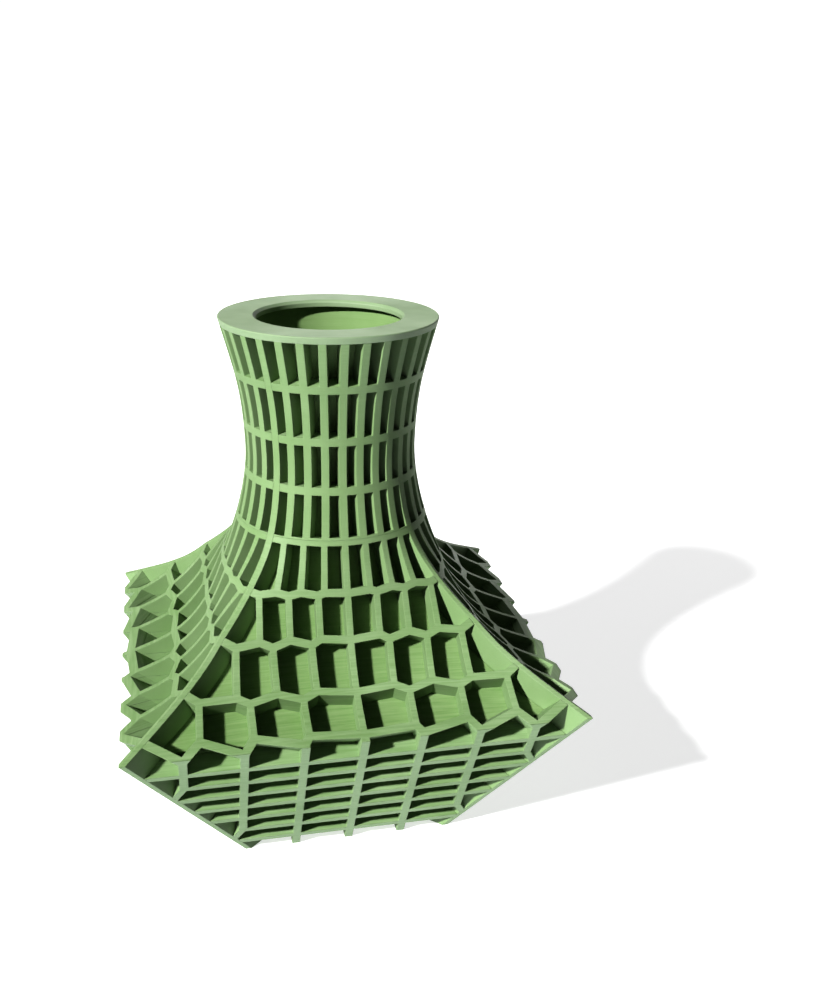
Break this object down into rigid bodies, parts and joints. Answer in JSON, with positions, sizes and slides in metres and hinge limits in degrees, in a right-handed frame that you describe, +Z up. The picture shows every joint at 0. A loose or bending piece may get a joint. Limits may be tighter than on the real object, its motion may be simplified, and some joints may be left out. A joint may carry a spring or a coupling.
{
  "type": "vase",
  "caption": "Printed vase with a round waisted neck, a wide square belly and a square foot, covered in open lattice pockets in front of a closed liner.",
  "frame": {"origin": "centre of the square foot, on the surface it stands on", "axes": "+Z up along the axis of the vase, +X towards the right face and -Y towards the front face"},
  "size_m": [0.165, 0.165, 0.2],
  "materials": {
    "rim_ring": "light green printed plastic, matte, with fine level layer lines",
    "neck_liner": "light green printed plastic, matte, with fine level layer lines",
    "body_liner": "light green printed plastic, matte, with fine level layer lines",
    "floor_plate": "light green printed plastic, matte, with fine level layer lines",
    "neck_panel": "light green printed plastic, matte, with fine level layer lines",
    "shoulder_panel": "light green printed plastic, matte, with fine level layer lines",
    "underside_panel": "light green printed plastic, matte, with fine level layer lines",
    "corner_spine": "light green printed plastic, matte, with fine level layer lines"
  },
  "bodies": {
    "root": {"rim_ring": "rim_ring", "neck_liner": "neck_liner", "body_liner": "body_liner", "floor_plate": "floor_plate", "neck_panel_front": "neck_panel", "neck_panel_right": "neck_panel", "neck_panel_back": "neck_panel", "neck_panel_left": "neck_panel", "shoulder_panel_front": "shoulder_panel", "shoulder_panel_right": "shoulder_panel", "shoulder_panel_back": "shoulder_panel", "shoulder_panel_left": "shoulder_panel", "underside_panel_front": "underside_panel", "underside_panel_right": "underside_panel", "underside_panel_back": "underside_panel", "underside_panel_left": "underside_panel", "corner_spine_front_left": "corner_spine", "corner_spine_front_right": "corner_spine", "corner_spine_back_right": "corner_spine", "corner_spine_back_left": "corner_spine"}
  },
  "joints": []
}
